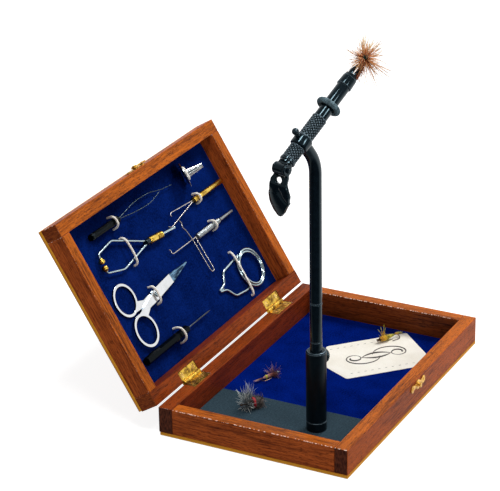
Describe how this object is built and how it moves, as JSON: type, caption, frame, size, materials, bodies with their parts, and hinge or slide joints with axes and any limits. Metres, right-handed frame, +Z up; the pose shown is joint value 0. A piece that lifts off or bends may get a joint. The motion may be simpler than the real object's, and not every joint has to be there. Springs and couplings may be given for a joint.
{
  "type": "fly tying cabinet",
  "caption": "Open hinged wooden case lined with felt: a rotary vise on a post stands in the base and tying tools are held in the lid by elastic loops.",
  "frame": {"origin": "centre of the base panel's underside, on the surface the case stands on", "axes": "+X along the hinges to the right end, +Y from the clasp rail to the hinge rail, +Z up"},
  "size_m": [0.254, 0.2654, 0.3065],
  "materials": {
    "rim_wood": "varnished mahogany",
    "plywood": "clear varnished plywood",
    "base_felt": "royal blue felt",
    "lid_felt": "navy felt",
    "woven_mat": "slate grey woven cloth",
    "brass": "polished brass",
    "black_enamel": "gloss black enamel",
    "bright_steel": "bright nickel plate",
    "grey_rubber": "matt grey rubber",
    "black_plastic": "gloss black",
    "aluminium": "turned aluminium",
    "elastic": "cream elastic cord",
    "card": "cream card",
    "feathers": "tied feather fibres"
  },
  "bodies": {
    "case": {"base_panel": "plywood", "base_front_rail": "rim_wood", "base_back_rail": "rim_wood", "base_left_rail": "rim_wood", "base_right_rail": "rim_wood", "base_felt": "base_felt", "vise_mat": "woven_mat", "hinge_base_leaves": "brass", "hinge_base_screws": "brass", "clasp_keeper": "brass", "clasp_keeper_nails": "brass", "vise_foot": "black_enamel", "vise_foot_screw": "bright_steel", "vise_socket": "black_enamel", "card_tag": "card", "loose_flies": "feathers"},
    "lid": {"lid_panel": "plywood", "lid_front_rail": "rim_wood", "lid_back_rail": "rim_wood", "lid_left_rail": "rim_wood", "lid_right_rail": "rim_wood", "lid_felt": "lid_felt", "hinge_lid_leaves": "brass", "hinge_lid_screws": "brass", "clasp_lid_plate": "brass", "clasp_lid_nails": "brass", "tool_loops": "elastic", "brass_whip_wires": "brass"},
    "latch": {"clasp_latch": "brass"},
    "thumbscrew": {"socket_thumbscrew": "black_enamel"},
    "post_foot": {"post_lower_rod": "black_enamel"},
    "post": {"post_middle_rod": "black_enamel", "post_upper_rod": "black_enamel"},
    "lock_screw": {"head_lock_screw": "black_enamel"},
    "head": {"head_barrel": "black_enamel", "rear_lock_ring": "black_enamel", "collet_cap": "black_enamel", "cam_block": "black_enamel", "cam_pin": "bright_steel"},
    "front_sleeve": {"front_knurled_sleeve": "black_enamel"},
    "rear_sleeve": {"rear_knurled_sleeve": "black_enamel"},
    "jaws": {"collet_jaws": "bright_steel", "draw_rod": "bright_steel", "tied_fly": "feathers"},
    "lever": {"cam_lever": "black_enamel"},
    "ring": {"material_ring": "grey_rubber"},
    "scissors": {"scissors_upper_blade": "bright_steel", "scissors_screw": "bright_steel"},
    "scissors_leg": {"scissors_lower_blade": "bright_steel"},
    "bodkin": {"bodkin_handle": "black_plastic", "bodkin_needle": "bright_steel"},
    "threader": {"threader_handle": "black_plastic", "threader_wire": "bright_steel"},
    "bobbin": {"bobbin_barrel_and_tube": "brass", "bobbin_arms_and_beads": "bright_steel"},
    "brass_handle": {"brass_whip_handle": "brass"},
    "steel_wires": {"steel_whip_wires": "bright_steel"},
    "steel_handle": {"steel_whip_handle": "bright_steel"},
    "pliers": {"hackle_pliers": "bright_steel"},
    "guard": {"hackle_guard": "aluminium"}
  },
  "joints": [
    {"name": "lid_hinge", "type": "hinge", "parent": "case", "child": "lid", "pos_m": [0, 0.0812, 0.0248], "axis": [1, 0, 0], "range_deg": [0, 66]},
    {"name": "latch_swing", "type": "hinge", "parent": "lid", "child": "latch", "pos_m": [0.004, 0.17078, 0.15895], "axis": [0, -0.524, -0.8517], "range_deg": [0, 90]},
    {"name": "thumbscrew_turn", "type": "hinge", "parent": "case", "child": "thumbscrew", "pos_m": [-0.072, -0.028, 0.0612], "axis": [0.9848, 0.1736, 0], "continuous": true},
    {"name": "post_slide", "type": "slide", "parent": "case", "child": "post_foot", "axis": [0, 0, 1], "range_m": [-0.007, 0.03]},
    {"name": "post_turn", "type": "hinge", "parent": "post_foot", "child": "post", "pos_m": [-0.072, -0.028, 0.0796], "axis": [0, 0, 1], "continuous": true},
    {"name": "head_roll", "type": "hinge", "parent": "post", "child": "head", "pos_m": [-0.08512, -0.02374, 0.2454], "axis": [0.7791, -0.2531, 0.5736], "continuous": true},
    {"name": "lock_screw_turn", "type": "hinge", "parent": "post", "child": "lock_screw", "pos_m": [-0.08512, -0.02374, 0.2454], "axis": [-0.5455, 0.1772, 0.8192], "continuous": true},
    {"name": "lever_swing", "type": "hinge", "parent": "head", "child": "lever", "pos_m": [-0.10546, -0.01713, 0.23043], "axis": [0.309, 0.9511, 0], "range_deg": [0, 85]},
    {"name": "jaw_slide", "type": "slide", "parent": "head", "child": "jaws", "axis": [0.7791, -0.2531, 0.5736], "range_m": [0, 0.0015]},
    {"name": "front_sleeve_turn", "type": "hinge", "parent": "head", "child": "front_sleeve", "pos_m": [-0.08512, -0.02374, 0.2454], "axis": [0.7791, -0.2531, 0.5736], "continuous": true},
    {"name": "rear_sleeve_turn", "type": "hinge", "parent": "head", "child": "rear_sleeve", "pos_m": [-0.08512, -0.02374, 0.2454], "axis": [0.7791, -0.2531, 0.5736], "continuous": true},
    {"name": "ring_slide", "type": "slide", "parent": "head", "child": "ring", "axis": [0.7791, -0.2531, 0.5736], "range_m": [-0.003, 0.012]},
    {"name": "scissors_slide", "type": "slide", "parent": "lid", "child": "scissors", "axis": [-1, 0, 0], "range_m": [0, 0.018]},
    {"name": "scissors_open", "type": "hinge", "parent": "scissors", "child": "scissors_leg", "pos_m": [-0.0444, 0.12959, 0.07464], "axis": [0, 0.8517, -0.524], "range_deg": [0, 6]},
    {"name": "bodkin_slide", "type": "slide", "parent": "lid", "child": "bodkin", "axis": [-1, 0, 0], "range_m": [0, 0.015]},
    {"name": "threader_slide", "type": "slide", "parent": "lid", "child": "threader", "axis": [-1, 0, 0], "range_m": [0, 0.012]},
    {"name": "bobbin_slide", "type": "slide", "parent": "lid", "child": "bobbin", "axis": [-1, 0, 0], "range_m": [0, 0.018]},
    {"name": "brass_handle_turn", "type": "hinge", "parent": "lid", "child": "brass_handle", "pos_m": [0.0623, 0.15032, 0.1133], "axis": [1, 0, 0], "continuous": true},
    {"name": "steel_whip_slide", "type": "slide", "parent": "lid", "child": "steel_wires", "axis": [1, 0, 0], "range_m": [0, 0.01]},
    {"name": "steel_handle_turn", "type": "hinge", "parent": "steel_wires", "child": "steel_handle", "pos_m": [0.0419, 0.13639, 0.09065], "axis": [1, 0, 0], "continuous": true},
    {"name": "pliers_slide", "type": "slide", "parent": "lid", "child": "pliers", "axis": [1, 0, 0], "range_m": [0, 0.007]},
    {"name": "guard_turn", "type": "hinge", "parent": "lid", "child": "guard", "pos_m": [0.062, 0.15823, 0.13497], "axis": [0.6561, -0.6428, 0.3955], "continuous": true}
  ],
  "couplings": [
    {"joint": "jaw_slide", "follows": "lever_swing", "m_per_rad": 0.001}
  ]
}
